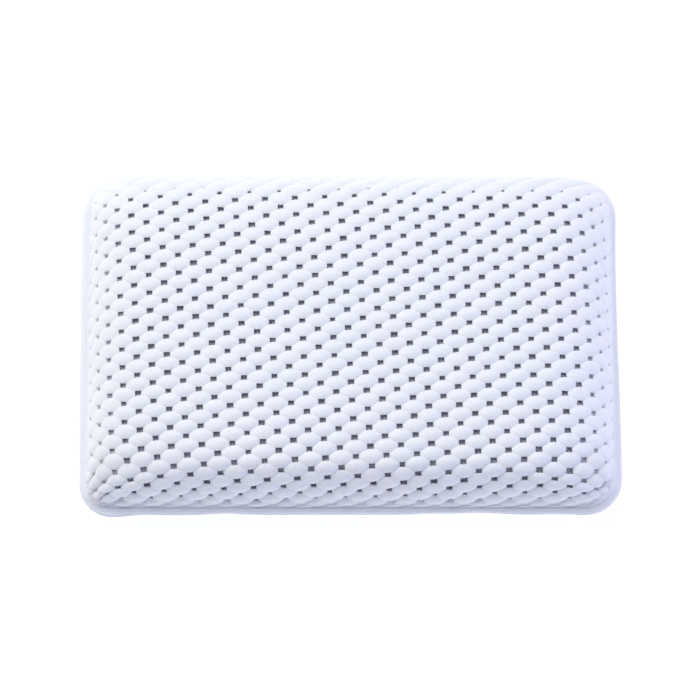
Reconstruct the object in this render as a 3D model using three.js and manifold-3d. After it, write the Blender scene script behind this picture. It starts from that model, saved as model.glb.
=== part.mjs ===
// Bath pillow: a domed cover of PVC foam mesh, welded round its rim to a back sheet over a foam pad.
// Six suction cups hold it to the bath, each turning on its neck in a soft eyelet in the back sheet.
// Millimetres, +Z up. The pillow lies face up on its cups, with the origin at the middle of its
// footprint on the floor, +X along its width and +Y towards its upper edge.

import * as THREE from 'three';
import { mergeVertices } from 'three/addons/utils/BufferGeometryUtils.js';
import Module from 'manifold-3d';

const wasm = await Module();
wasm.setup();

// Outline and welded rim
const PILLOW_WIDTH = 330;
const PILLOW_DEPTH = 222;
const EDGE_CORNER_RADIUS = 23.5;
const RIM_WIDTH = 4.5;
const RIM_THICKNESS = 1.8;

// Dome of the cover: a full wall up to a shoulder, and a low crown over the whole face
const WALL_HEIGHT = 29;
const WALL_RUN_X = 42;
const WALL_RUN_Y = 20.5;
const WALL_FULLNESS = 2.95;
const SHOULDER_CORNER_RADIUS = 41;
const CROWN_HEIGHT = 8.4;
const CROWN_FULLNESS = 4.4;
const COVER_THICKNESS = 5;

// Foam beads of the cover: ovals in staggered rows that lie a little askew, on a net inside the foam.
// A hollow lies between each four beads. The hollows get shallower towards the rim, and end clear of it.
const BEAD_PITCH_X = 18.5;
const BEAD_PITCH_Y = 11.86;
const BEAD_ROW_TURN = 2.85 * Math.PI / 180;
const BEAD_OFFSET_X = -1.4;
const BEAD_OFFSET_Y = -2;
const BEAD_HOLLOW_DEPTH = 2.6;
const BEAD_NET_DEPTH = 3;
const BEAD_FADE_HEIGHT = 12;
const BEAD_RIM_CLEARANCE = 1;

// Back sheet, and the clearance between pieces that touch in the real pillow
const SHEET_THICKNESS = 1.2;
const FIT_GAP = 0.3;

// Suction cups: a flat lip, a hollow under the skirt, a shoulder, a neck and a mushroom head
const CUP_COLUMNS = 3;
const CUP_ROWS = 2;
const CUP_INSET_X = 55;
const CUP_INSET_Y = 49;
const CUP_LIP_RADIUS = 22.5;
const CUP_LIP_WIDTH = 2;
const CUP_LIP_THICKNESS = 0.9;
const CUP_SHOULDER_HEIGHT = 9.2;
const CUP_SHOULDER_RADIUS = 8;
const CUP_SHOULDER_EDGE = 0.8;
const CUP_HOLLOW_DEPTH = 7;
const CUP_NECK_RADIUS = 3.5;
const CUP_HEAD_RADIUS = 7;
const CUP_HEAD_HEIGHT = 3.4;
const CUP_HEAD_EDGE = 1.1;

// Eyelets: a spool with a flange on each side of the sheet
const EYELET_FLANGE_RADIUS = 9;
const EYELET_FLANGE_THICKNESS = 1;
const EYELET_WALL = 1.6;

// Smoothness
const CORNER_STEPS = 5;
const LONG_SIDE_STEPS = 8;
const SHORT_SIDE_STEPS = 4;
const WALL_STEPS = 7;
const CROWN_STEPS = 5;
const SECTION_STEPS = 400;
const HALVING_STEPS = 36;
const SLOPE_STEP = 0.01;
const SKIRT_STEPS = 5;
const HEAD_STEPS = 3;
const ROUND_STEPS = 20;
const SMALL_ROUND_STEPS = 16;

// Heights of the stack, from the cups' lips on the floor to the seam between sheet and rim
const EYELET_BOTTOM = CUP_SHOULDER_HEIGHT + FIT_GAP;
const SHEET_BOTTOM = EYELET_BOTTOM + EYELET_FLANGE_THICKNESS + FIT_GAP;
const SEAM_HEIGHT = SHEET_BOTTOM + SHEET_THICKNESS;
const RIM_TOP = SEAM_HEIGHT + RIM_THICKNESS;
const EYELET_TOP = SEAM_HEIGHT + FIT_GAP + EYELET_FLANGE_THICKNESS;
const CUP_HEAD_BOTTOM = EYELET_TOP + FIT_GAP;
const CUP_TOP = CUP_HEAD_BOTTOM + CUP_HEAD_HEIGHT;

// Radii that follow the neck
const EYELET_BORE_RADIUS = CUP_NECK_RADIUS + FIT_GAP;
const EYELET_GROOVE_RADIUS = EYELET_BORE_RADIUS + EYELET_WALL;
const SHEET_HOLE_RADIUS = EYELET_GROOVE_RADIUS + FIT_GAP;
const POCKET_RADIUS = Math.max(EYELET_FLANGE_RADIUS, CUP_HEAD_RADIUS) + 2 * FIT_GAP;

// Foot of the dome, where the wall rises from the flat rim
const FOOT_HALF_X = PILLOW_WIDTH / 2 - RIM_WIDTH;
const FOOT_HALF_Y = PILLOW_DEPTH / 2 - RIM_WIDTH;
const FOOT_CORNER_RADIUS = EDGE_CORNER_RADIUS - RIM_WIDTH;

const coverFoam = new THREE.MeshStandardMaterial({ color: 0xebf0fb, roughness: 0.6, metalness: 0 });
const padFoam = new THREE.MeshStandardMaterial({ color: 0x8d9098, roughness: 0.95, metalness: 0 });
const sheetVinyl = new THREE.MeshStandardMaterial({ color: 0xf0f2f6, roughness: 0.5, metalness: 0 });
const eyeletVinyl = new THREE.MeshStandardMaterial({ color: 0xf4f5f7, roughness: 0.4, metalness: 0 });
const cupVinyl = new THREE.MeshStandardMaterial({ color: 0xdde5e8, roughness: 0.2, metalness: 0 });

// Rounded rectangle about the origin, anticlockwise from the right-hand side
function roundedOutline(halfX, halfY, radius) {
  const points = [];
  const corners = [[1, 1], [-1, 1], [-1, -1], [1, -1]];
  corners.forEach(([sideX, sideY], quarter) => {
    const centre = new THREE.Vector2(sideX * (halfX - radius), sideY * (halfY - radius));
    for (let step = 0; step <= CORNER_STEPS; step += 1) {
      const angle = (quarter + step / CORNER_STEPS) * Math.PI / 2;
      const spoke = new THREE.Vector2(Math.cos(angle), Math.sin(angle)).multiplyScalar(radius);
      points.push(centre.clone().add(spoke));
    }
    const steps = quarter % 2 === 0 ? LONG_SIDE_STEPS : SHORT_SIDE_STEPS;
    const from = points[points.length - 1];
    const run = quarter % 2 === 0
      ? new THREE.Vector2(-2 * centre.x, 0)
      : new THREE.Vector2(0, -2 * centre.y);
    for (let step = 1; step < steps; step += 1) {
      points.push(from.clone().addScaledVector(run, step / steps));
    }
  });
  return points;
}

function ringAt(outline, height) {
  return outline.map((point) => new THREE.Vector3(point.x, point.y, height(point)));
}

// Height of the crown over the wall's top at a plan point, falling to nothing above the foot
function crownAt(point, halfX, halfY) {
  const fallX = Math.abs(point.x / halfX) ** CROWN_FULLNESS;
  const fallY = Math.abs(point.y / halfY) ** CROWN_FULLNESS;
  return CROWN_HEIGHT * (1 - fallX) * (1 - fallY);
}

// Rings of a dome from its foot to near its middle, the whole dome drawn in by an inset.
// A wall ring is a rounded rectangle drawn in by its share of the wall's run, lifted along a superellipse.
// Inside the shoulder the rings shrink evenly to the middle, and the crown lies over all of them.
function domeRings(inset, footHeight, wallRise) {
  const halfX = FOOT_HALF_X - inset;
  const halfY = FOOT_HALF_Y - inset;
  const crown = (point) => crownAt(point, halfX, halfY);
  const rings = [];
  for (let step = 0; step <= WALL_STEPS; step += 1) {
    const angle = step / WALL_STEPS * Math.PI / 2;
    const share = 1 - Math.cos(angle) ** (2 / WALL_FULLNESS);
    const lift = Math.sin(angle) ** (2 / WALL_FULLNESS);
    const radius = THREE.MathUtils.lerp(FOOT_CORNER_RADIUS, SHOULDER_CORNER_RADIUS, share) - inset;
    const outline = roundedOutline(halfX - share * WALL_RUN_X, halfY - share * WALL_RUN_Y, radius);
    rings.push(ringAt(outline, (point) => footHeight + lift * (wallRise + crown(point))));
  }
  const shoulder = rings[WALL_STEPS];
  for (let step = 1; step < CROWN_STEPS; step += 1) {
    const shrunk = shoulder.map((point) => point.clone().multiplyScalar(1 - step / CROWN_STEPS));
    rings.push(ringAt(shrunk, (point) => footHeight + wallRise + crown(point)));
  }
  const middle = new THREE.Vector3(0, 0, footHeight + wallRise + CROWN_HEIGHT);
  return { rings, middle };
}

// Surface over rings of equal count, from a first point inside the first ring to the last ring, left open.
// Rings run anticlockwise seen from above, and go outwards underneath, then up and in.
function skinRings(first, rings) {
  const count = rings[0].length;
  const points = [first, ...rings.flat()];
  const at = (ring, i) => 1 + ring * count + i % count;
  const triangles = [];
  for (let i = 0; i < count; i += 1) {
    triangles.push(0, at(0, i + 1), at(0, i));
    for (let ring = 0; ring < rings.length - 1; ring += 1) {
      triangles.push(at(ring, i), at(ring, i + 1), at(ring + 1, i + 1));
      triangles.push(at(ring, i), at(ring + 1, i + 1), at(ring + 1, i));
    }
  }
  const openLoop = rings[0].map((_, i) => at(rings.length - 1, i));
  return { points, triangles, openLoop };
}

// Fan from the open loop of a surface to a last point inside it
function closeOver(skin, last) {
  const lastIndex = skin.points.push(last) - 1;
  skin.openLoop.forEach((index, i) => {
    skin.triangles.push(index, skin.openLoop[(i + 1) % skin.openLoop.length], lastIndex);
  });
}

function skinGeometry(skin) {
  const geometry = new THREE.BufferGeometry().setFromPoints(skin.points);
  geometry.setIndex(skin.triangles);
  return geometry;
}

// Round piece about +Z from a profile of radius and height pairs
function turned(profile, steps) {
  const points = profile.map(([radius, height]) => new THREE.Vector2(radius, height));
  return new THREE.LatheGeometry(points, steps).rotateX(Math.PI / 2);
}

function toManifold(geometry) {
  const bare = geometry.clone();
  bare.deleteAttribute('normal');
  bare.deleteAttribute('uv');
  const merged = mergeVertices(bare);
  return new wasm.Manifold(new wasm.Mesh({
    numProp: 3,
    vertProperties: new Float32Array(merged.attributes.position.array),
    triVerts: new Uint32Array(merged.index.array),
  }));
}

function fromManifold(solid) {
  const { vertProperties, triVerts } = solid.getMesh();
  const geometry = new THREE.BufferGeometry();
  geometry.setAttribute('position', new THREE.BufferAttribute(vertProperties, 3));
  geometry.setIndex(new THREE.BufferAttribute(triVerts, 1));
  return geometry;
}

function named(name, geometry, material) {
  geometry.computeVertexNormals();
  const mesh = new THREE.Mesh(geometry, material);
  mesh.name = name;
  return mesh;
}

// Places of the cups' axes: rows from the lower edge up, columns from left to right
function cupPlaces() {
  const reachX = PILLOW_WIDTH / 2 - CUP_INSET_X;
  const reachY = PILLOW_DEPTH / 2 - CUP_INSET_Y;
  const places = [];
  for (let row = 0; row < CUP_ROWS; row += 1) {
    for (let column = 0; column < CUP_COLUMNS; column += 1) {
      const x = THREE.MathUtils.lerp(-reachX, reachX, column / (CUP_COLUMNS - 1));
      const y = THREE.MathUtils.lerp(-reachY, reachY, row / (CUP_ROWS - 1));
      places.push(new THREE.Vector2(x, y));
    }
  }
  return places;
}

// Share of the way from the dome's foot to its shoulder at a plan point, found by halving
function wallShare(point) {
  let low = 0;
  let high = 1;
  for (let step = 0; step < HALVING_STEPS; step += 1) {
    const share = (low + high) / 2;
    const radius = THREE.MathUtils.lerp(FOOT_CORNER_RADIUS, SHOULDER_CORNER_RADIUS, share);
    const overX = Math.abs(point.x) - FOOT_HALF_X + share * WALL_RUN_X + radius;
    const overY = Math.abs(point.y) - FOOT_HALF_Y + share * WALL_RUN_Y + radius;
    const reach = overX > 0 && overY > 0 ? Math.hypot(overX, overY) : Math.max(overX, overY);
    if (reach < radius) {
      low = share;
    } else {
      high = share;
    }
  }
  return low;
}

// Height over the floor of the skin that the beads' tops lie on
function skinHeight(point) {
  const lift = (1 - (1 - wallShare(point)) ** WALL_FULLNESS) ** (1 / WALL_FULLNESS);
  return RIM_TOP + lift * (WALL_HEIGHT + crownAt(point, FOOT_HALF_X, FOOT_HALF_Y));
}

// Point under the skin, sunk along its normal
function skinPoint(spot, depth) {
  const stepX = new THREE.Vector2(SLOPE_STEP, 0);
  const stepY = new THREE.Vector2(0, SLOPE_STEP);
  const slope = (step) => skinHeight(spot.clone().sub(step)) - skinHeight(spot.clone().add(step));
  const normal = new THREE.Vector3(slope(stepX), slope(stepY), 2 * SLOPE_STEP).normalize();
  return new THREE.Vector3(spot.x, spot.y, skinHeight(spot)).addScaledVector(normal, -depth);
}

// Middle section of the net inside the foam, from the crown down to the foot in one direction.
// The mesh lies along it without stretching, so its length gives the beads' places on the wall.
class NetSection extends THREE.Curve {
  constructor(direction, reach) {
    super();
    this.direction = direction;
    this.reach = reach;
    this.arcLengthDivisions = SECTION_STEPS;
  }

  planAt(t) {
    return this.reach * Math.sin(t * Math.PI / 2);
  }

  getPoint(t) {
    return skinPoint(this.direction.clone().multiplyScalar(this.planAt(t)), BEAD_NET_DEPTH);
  }

  // Plan distance at a length along the net, with the same sign
  planAtLength(length) {
    return Math.sign(length) * this.planAt(this.getUtoTmapping(0, Math.abs(length)));
  }
}

const netX = new NetSection(new THREE.Vector2(1, 0), FOOT_HALF_X);
const netY = new NetSection(new THREE.Vector2(0, 1), FOOT_HALF_Y);

// Plan place of a point of the mesh: steps i go down to the right and steps j up to the right
function meshPlace(i, j) {
  const onNet = new THREE.Vector2((i + j) / 2 * BEAD_PITCH_X, (j - i) / 2 * BEAD_PITCH_Y);
  onNet.rotateAround(new THREE.Vector2(), BEAD_ROW_TURN);
  onNet.x += BEAD_OFFSET_X;
  onNet.y += BEAD_OFFSET_Y;
  return new THREE.Vector2(netX.planAtLength(onNet.x), netY.planAtLength(onNet.y));
}

// Cells of the mesh, one for each bead, whose four hollows all lie on the dome and clear of the rim
function beadCells() {
  const reach = Math.ceil(netX.getLength() / BEAD_PITCH_X + netY.getLength() / BEAD_PITCH_Y) + 1;
  const clear = new Set();
  for (let i = -reach; i <= reach; i += 1) {
    for (let j = -reach; j <= reach; j += 1) {
      if (skinHeight(meshPlace(i, j)) > RIM_TOP + BEAD_RIM_CLEARANCE) {
        clear.add(`${i},${j}`);
      }
    }
  }
  const cells = [];
  for (let i = -reach; i < reach; i += 1) {
    for (let j = -reach; j < reach; j += 1) {
      const corners = [[i, j], [i + 1, j], [i + 1, j + 1], [i, j + 1]];
      if (corners.every((corner) => clear.has(corner.join()))) {
        cells.push(corners);
      }
    }
  }
  return cells;
}

// Beads as four-sided mounds from their hollows up to the skin, added to a surface.
// Returns the loop of hollows round them, anticlockwise.
function addBeads(skin) {
  const hollows = new Map();
  const sides = new Map();
  const hollowAt = (corner) => {
    const key = corner.join();
    if (!hollows.has(key)) {
      const spot = meshPlace(...corner);
      const depth = BEAD_HOLLOW_DEPTH * Math.min((skinHeight(spot) - RIM_TOP) / BEAD_FADE_HEIGHT, 1);
      hollows.set(key, skin.points.push(skinPoint(spot, depth)) - 1);
    }
    return hollows.get(key);
  };
  beadCells().forEach((corners) => {
    const [i, j] = corners[0];
    const top = skin.points.push(skinPoint(meshPlace(i + 0.5, j + 0.5), 0)) - 1;
    const ring = corners.map(hollowAt);
    ring.forEach((from, k) => {
      const to = ring[(k + 1) % ring.length];
      skin.triangles.push(top, from, to);
      if (!sides.delete(`${to},${from}`)) {
        sides.set(`${from},${to}`, [from, to]);
      }
    });
  });
  const ahead = new Map(sides.values());
  const loop = [ahead.keys().next().value];
  while (ahead.get(loop.at(-1)) !== loop[0]) {
    loop.push(ahead.get(loop.at(-1)));
  }
  return loop;
}

// Band between the open loop of a surface and a loop inside it: each step goes on to whichever next point
// comes first on the way round
function bandTo(skin, inner) {
  const turnAt = (index) => {
    const turn = Math.atan2(skin.points[index].y / FOOT_HALF_Y, skin.points[index].x / FOOT_HALF_X);
    return turn < 0 ? turn + 2 * Math.PI : turn;
  };
  const fromLeast = (loop) => {
    const turns = loop.map(turnAt);
    const start = turns.indexOf(Math.min(...turns));
    return [...loop.slice(start), ...loop.slice(0, start), loop[start]];
  };
  const lap = (loop, i) => (i < loop.length - 1 ? turnAt(loop[i]) : turnAt(loop[0]) + 2 * Math.PI);
  const outerLoop = fromLeast(skin.openLoop);
  const innerLoop = fromLeast(inner);
  let a = 0;
  let b = 0;
  while (a + b < outerLoop.length + innerLoop.length - 2) {
    const outerNext = b === innerLoop.length - 1 || lap(outerLoop, a + 1) < lap(innerLoop, b + 1);
    if (a < outerLoop.length - 1 && outerNext) {
      skin.triangles.push(outerLoop[a], outerLoop[a + 1], innerLoop[b]);
      a += 1;
    } else {
      skin.triangles.push(outerLoop[a], innerLoop[b + 1], innerLoop[b]);
      b += 1;
    }
  }
}

// Bowl of foam mesh with a flat pressed rim, open towards the back
function frontCover() {
  const inside = domeRings(COVER_THICKNESS, SEAM_HEIGHT, WALL_HEIGHT + RIM_THICKNESS - COVER_THICKNESS);
  const edge = roundedOutline(PILLOW_WIDTH / 2, PILLOW_DEPTH / 2, EDGE_CORNER_RADIUS);
  const foot = roundedOutline(FOOT_HALF_X, FOOT_HALF_Y, FOOT_CORNER_RADIUS);
  const skin = skinRings(inside.middle, [
    ...inside.rings.toReversed(),
    ringAt(edge, () => SEAM_HEIGHT),
    ringAt(edge, () => RIM_TOP),
    ringAt(foot, () => RIM_TOP),
  ]);
  bandTo(skin, addBeads(skin));
  return named('front_cover', skinGeometry(skin), coverFoam);
}

// Foam block that fills the bowl, with a blind pocket over each eyelet and cup head
function foamPad() {
  const inset = COVER_THICKNESS + FIT_GAP;
  const bottom = SEAM_HEIGHT + FIT_GAP;
  const rise = WALL_HEIGHT + RIM_THICKNESS - COVER_THICKNESS - 2 * FIT_GAP;
  const block = domeRings(inset, bottom, rise);
  const skin = skinRings(new THREE.Vector3(0, 0, bottom), block.rings);
  closeOver(skin, block.middle);
  let solid = toManifold(skinGeometry(skin));
  const pocketTop = CUP_TOP + FIT_GAP;
  const pocketBottom = SEAM_HEIGHT - FIT_GAP;
  cupPlaces().forEach((place) => {
    const pocket = turned([
      [0, pocketBottom],
      [POCKET_RADIUS, pocketBottom],
      [POCKET_RADIUS, pocketTop],
      [0, pocketTop],
    ], SMALL_ROUND_STEPS);
    solid = solid.subtract(toManifold(pocket.translate(place.x, place.y, 0)));
  });
  return named('foam_pad', fromManifold(solid), padFoam);
}

// Flat sheet of the rim's own outline, with a hole for each eyelet
function backSheet() {
  const shape = new THREE.Shape(roundedOutline(PILLOW_WIDTH / 2, PILLOW_DEPTH / 2, EDGE_CORNER_RADIUS));
  cupPlaces().forEach((place) => {
    const hole = new THREE.Path();
    hole.absarc(place.x, place.y, SHEET_HOLE_RADIUS, 0, 2 * Math.PI, true);
    shape.holes.push(hole);
  });
  const geometry = new THREE.ExtrudeGeometry(shape, {
    depth: SHEET_THICKNESS,
    bevelEnabled: false,
    curveSegments: SMALL_ROUND_STEPS,
  });
  geometry.translate(0, 0, -SHEET_THICKNESS);
  const mesh = named('back_sheet', geometry, sheetVinyl);
  mesh.position.z = SEAM_HEIGHT;
  return mesh;
}

// Spool whose groove takes the sheet, with a bore for the cup's neck
function cupEyelet(number) {
  const geometry = turned([
    [EYELET_BORE_RADIUS, EYELET_BOTTOM],
    [EYELET_FLANGE_RADIUS, EYELET_BOTTOM],
    [EYELET_FLANGE_RADIUS, EYELET_BOTTOM + EYELET_FLANGE_THICKNESS],
    [EYELET_GROOVE_RADIUS, EYELET_BOTTOM + EYELET_FLANGE_THICKNESS],
    [EYELET_GROOVE_RADIUS, EYELET_TOP - EYELET_FLANGE_THICKNESS],
    [EYELET_FLANGE_RADIUS, EYELET_TOP - EYELET_FLANGE_THICKNESS],
    [EYELET_FLANGE_RADIUS, EYELET_TOP],
    [EYELET_BORE_RADIUS, EYELET_TOP],
    [EYELET_BORE_RADIUS, EYELET_BOTTOM],
  ], SMALL_ROUND_STEPS);
  return named(`cup_eyelet_${number}`, geometry, eyeletVinyl);
}

// Cup of soft vinyl: the hollow falls as a parabola to the flat lip, the skirt climbs as a quarter of an
// ellipse to the shoulder, and the head is rounded over the same way
function suctionCup(number) {
  const hollowRadius = CUP_LIP_RADIUS - CUP_LIP_WIDTH;
  const skirtTop = CUP_SHOULDER_HEIGHT - CUP_SHOULDER_EDGE;
  const profile = [[0, CUP_HOLLOW_DEPTH]];
  for (let step = 1; step <= SKIRT_STEPS; step += 1) {
    const share = step / SKIRT_STEPS;
    profile.push([hollowRadius * share, CUP_HOLLOW_DEPTH * (1 - share ** 2)]);
  }
  profile.push([CUP_LIP_RADIUS, 0]);
  for (let step = 0; step <= SKIRT_STEPS; step += 1) {
    const angle = step / SKIRT_STEPS * Math.PI / 2;
    const radius = THREE.MathUtils.lerp(CUP_LIP_RADIUS, CUP_SHOULDER_RADIUS, 1 - Math.cos(angle));
    profile.push([radius, THREE.MathUtils.lerp(CUP_LIP_THICKNESS, skirtTop, Math.sin(angle))]);
  }
  profile.push(
    [CUP_SHOULDER_RADIUS, CUP_SHOULDER_HEIGHT],
    [CUP_NECK_RADIUS, CUP_SHOULDER_HEIGHT],
    [CUP_NECK_RADIUS, CUP_HEAD_BOTTOM],
    [CUP_HEAD_RADIUS, CUP_HEAD_BOTTOM],
  );
  for (let step = 0; step < HEAD_STEPS; step += 1) {
    const angle = step / HEAD_STEPS * Math.PI / 2;
    const height = THREE.MathUtils.lerp(CUP_HEAD_BOTTOM + CUP_HEAD_EDGE, CUP_TOP, Math.sin(angle));
    profile.push([CUP_HEAD_RADIUS * Math.cos(angle), height]);
  }
  profile.push([0, CUP_TOP]);
  return named(`suction_cup_${number}`, turned(profile, ROUND_STEPS), cupVinyl);
}

const pillow = new THREE.Group();
pillow.add(frontCover(), foamPad(), backSheet());
cupPlaces().forEach((place, index) => {
  const station = new THREE.Group();
  station.position.set(place.x, place.y, 0);
  station.add(cupEyelet(index + 1), suctionCup(index + 1));
  pillow.add(station);
});

export default pillow;
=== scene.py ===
# Bath pillow in white foam mesh, lying face up on its suction cups. Metres, in the frame of the solids.
import math

import bmesh
import bpy
import numpy as np
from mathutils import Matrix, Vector


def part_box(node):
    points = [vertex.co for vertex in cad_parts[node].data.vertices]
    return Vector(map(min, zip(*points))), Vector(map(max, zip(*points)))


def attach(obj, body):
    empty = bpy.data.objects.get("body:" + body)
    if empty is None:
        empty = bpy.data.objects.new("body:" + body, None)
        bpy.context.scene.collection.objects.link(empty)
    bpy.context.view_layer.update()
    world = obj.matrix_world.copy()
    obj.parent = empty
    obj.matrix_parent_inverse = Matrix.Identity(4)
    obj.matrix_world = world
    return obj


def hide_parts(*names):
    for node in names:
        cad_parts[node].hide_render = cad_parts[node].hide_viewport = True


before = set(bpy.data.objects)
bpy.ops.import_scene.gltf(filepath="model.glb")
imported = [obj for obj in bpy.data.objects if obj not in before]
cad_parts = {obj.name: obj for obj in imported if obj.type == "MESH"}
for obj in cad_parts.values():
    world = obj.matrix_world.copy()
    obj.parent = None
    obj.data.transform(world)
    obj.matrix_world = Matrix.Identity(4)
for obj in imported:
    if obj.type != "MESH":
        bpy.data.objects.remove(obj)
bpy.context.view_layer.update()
mm = 0.001
rng = np.random.default_rng(7)


# Meshes and nodes

def linearColour(hexText):
    # sRGB hex to linear light: the standard curve, channel by channel
    channel = np.array([int(hexText[i:i + 2], 16) for i in (1, 3, 5)]) / 255
    linear = np.where(channel <= 0.04045, channel / 12.92, ((channel + 0.055) / 1.055) ** 2.4)
    return (*linear.tolist(), 1.0)


def addNode(tree, kind, values=(), links=(), **settings):
    # One shader node: its settings, then the values of its sockets, then links into them
    node = tree.nodes.new("ShaderNode" + kind)
    for name, value in settings.items():
        setattr(node, name, value)
    for name, value in dict(values).items():
        node.inputs[name].default_value = value
    for name, socket in dict(links).items():
        tree.links.new(socket, node.inputs[name])
    return node


def newMaterial(name):
    material = bpy.data.materials.new(name)
    material.use_nodes = True
    tree = material.node_tree
    return material, tree, tree.nodes["Principled BSDF"]


def setSockets(shader, values):
    for name, value in values.items():
        shader.inputs[name].default_value = value


def gridFaces(rows, columns, closeRows=False):
    # Quads of a grid whose columns go round: each corner is row * columns + column
    row = np.arange(rows if closeRows else rows - 1)[:, None]
    column = np.arange(columns)[None, :]
    above, beside = (row + 1) % rows, (column + 1) % columns
    corners = [row * columns + column, row * columns + beside,
               above * columns + beside, above * columns + column]
    return np.stack(corners, -1).reshape(-1, 4)


def turnProfile(profile, place, steps):
    # Lathe: a profile of radius and height carried round an upright axis at its place
    angle = np.linspace(0, 2 * math.pi, steps, endpoint=False)
    flat = place[:2] + profile[:, None, :1] * np.stack([np.cos(angle), np.sin(angle)], -1)
    return np.concatenate([flat, np.broadcast_to(profile[:, None, 1:], (*flat.shape[:2], 1))], -1)


def makePiece(name, points, faceSets, materials, closePoles=False, creases=None):
    # One mesh from an array of points and arrays of faces, each array with its own number of sides
    mesh = bpy.data.meshes.new(name)
    points = np.ascontiguousarray(points, np.float32).reshape(-1, 3)
    loops = np.concatenate([faces.ravel() for faces in faceSets])
    counts = np.concatenate([np.full(len(faces), faces.shape[1]) for faces in faceSets])
    mesh.vertices.add(len(points))
    mesh.vertices.foreach_set("co", points.ravel())
    mesh.loops.add(len(loops))
    mesh.loops.foreach_set("vertex_index", loops.astype(np.int32))
    mesh.polygons.add(len(counts))
    mesh.polygons.foreach_set("loop_start", (np.cumsum(counts) - counts).astype(np.int32))
    mesh.polygons.foreach_set("use_smooth", np.ones(len(counts), bool))
    mesh.update(calc_edges=True)
    if closePoles:  # where a whole row lies on one point
        work = bmesh.new()
        work.from_mesh(mesh)
        bmesh.ops.remove_doubles(work, verts=work.verts, dist=0.001 * mm)
        work.to_mesh(mesh)
        work.free()
    mesh.validate()
    if creases is not None:  # pairs of points whose edge is shaded sharp
        ends = np.empty(2 * len(mesh.edges), np.int32)
        mesh.edges.foreach_get("vertices", ends)
        edgeKey, creaseKey = (np.sort(pair.reshape(-1, 2), 1).astype(np.int64) @ [len(points), 1]
                              for pair in (ends, creases))
        mesh.edges.foreach_set("use_edge_sharp", np.isin(edgeKey, creaseKey))
    piece = bpy.data.objects.new(name, mesh)
    bpy.context.scene.collection.objects.link(piece)
    for material in materials:
        mesh.materials.append(material)
    return piece


# Form of the pillow: its solids' sizes, and what the photograph shows more finely

dome = {
    "rimWidth": 3.4 * mm,  # what the lowest beads leave to be seen
    "rimThickness": 1.8 * mm,
    "edgeRadii": (27 * mm, 24.5 * mm, 20 * mm, 23.5 * mm),  # far right, far left, near left, near right
    "footRadii": (23.6 * mm, 21.1 * mm, 13 * mm, 20 * mm),  # the same where the dome meets the rim
    "wallRunX": 43.1 * mm,
    "wallRunY": 21.6 * mm,
    "shoulderFullness": 2.6,
    "footFullness": {"side": 2.2, "far": 2.9, "near": 1.3},  # the near wall leans, the others stand upright
    "shoulderRadius": 50 * mm,
    "crownHeight": 8.4 * mm,
    "crownFullness": 4.4,
    "netDepth": 2.2 * mm,  # the net that carries the foam lies this far inside the skin
    "fitGap": 0.3 * mm,
    "outlineSteps": (14, 66, 42),  # steps round a corner, along a long side and along a short one
    "sectionSteps": 600,
    "wallSteps": 400,
    "halvings": 30,
}
coverLow, coverHigh = (np.array(corner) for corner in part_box("front_cover"))
edgeX, edgeY = coverHigh[0], coverHigh[1]
footX, footY = edgeX - dome["rimWidth"], edgeY - dome["rimWidth"]
footRadii = np.array(dome["footRadii"])
seamHeight = coverLow[2]
rimTop = seamHeight + dome["rimThickness"]
wallHeight = coverHigh[2] - rimTop - dome["crownHeight"]


def smoothStep(value, start, end):
    # Nothing up to the start, one from the end on, and 3 s^2 - 2 s^3 of the way s between them
    share = np.clip((value - start) / (end - start), 0, 1)
    return share * share * (3 - 2 * share)


def footRadiusAt(x, y):
    # Each quarter of the pillow has the radius of its own corner
    return footRadii[np.where(y >= 0, np.where(x >= 0, 0, 1), np.where(x >= 0, 3, 2))]


def footPower(turn, far):
    # Fullness at the wall's foot: the short side's at turn 0, the long side's at turn 1, mixed evenly between
    power = dome["footFullness"]
    return power["side"] + turn * (np.where(far, power["far"], power["near"]) - power["side"])


def cornerPlace(x, y):
    # Plan place measured both ways from the centre of its corner's arc at the foot, and that arc's radius
    radius = footRadiusAt(x, y)
    return np.abs(x) - footX + radius, np.abs(y) - footY + radius, radius


def wallPlace(x, y):
    # Share of the way from the dome's foot (0) to its shoulder (1), found by halving: the rounded rectangle
    # of each share is the foot's, drawn in by that share of the wall's run, its corners opening on the way
    footRadius = footRadiusAt(x, y)
    far = y >= 0
    x, y = np.abs(x), np.abs(y)
    low, high = np.zeros_like(x), np.ones_like(x)
    for _ in range(dome["halvings"]):
        share = (low + high) / 2
        sideX, sideY = footX - share * dome["wallRunX"], footY - share * dome["wallRunY"]
        radius = footRadius + share * (dome["shoulderRadius"] - footRadius)
        cornerX, cornerY = x - sideX + radius, y - sideY + radius
        inCorner = (cornerX > 0) & (cornerY > 0)
        outside = np.where(inCorner, np.hypot(cornerX, cornerY) - radius, np.maximum(x - sideX, y - sideY))
        low, high = np.where(outside < 0, share, low), np.where(outside < 0, high, share)
    turn = np.arctan2(np.maximum(cornerY, 0), np.maximum(cornerX, 0)) / (math.pi / 2)
    return (low + high) / 2, footPower(turn, far)


def wallLift(share, power):
    # Superellipse with two powers: nothing at the foot, one at the shoulder, full in between
    return (1 - np.clip(1 - share, 0, 1) ** dome["shoulderFullness"]) ** (1 / power)


def crownAt(x, y):
    # Low crown: one in the middle, falling to nothing at the foot with a high power of x and of y
    power = dome["crownFullness"]
    return (1 - np.clip(np.abs(x) / footX, 0, 1) ** power) * (1 - np.clip(np.abs(y) / footY, 0, 1) ** power)


def skinHeight(x, y):
    # Height of the skin: the rim's top, and the wall's lift times the heights of wall and crown
    return rimTop + wallLift(*wallPlace(x, y)) * (wallHeight + dome["crownHeight"] * crownAt(x, y))


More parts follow.
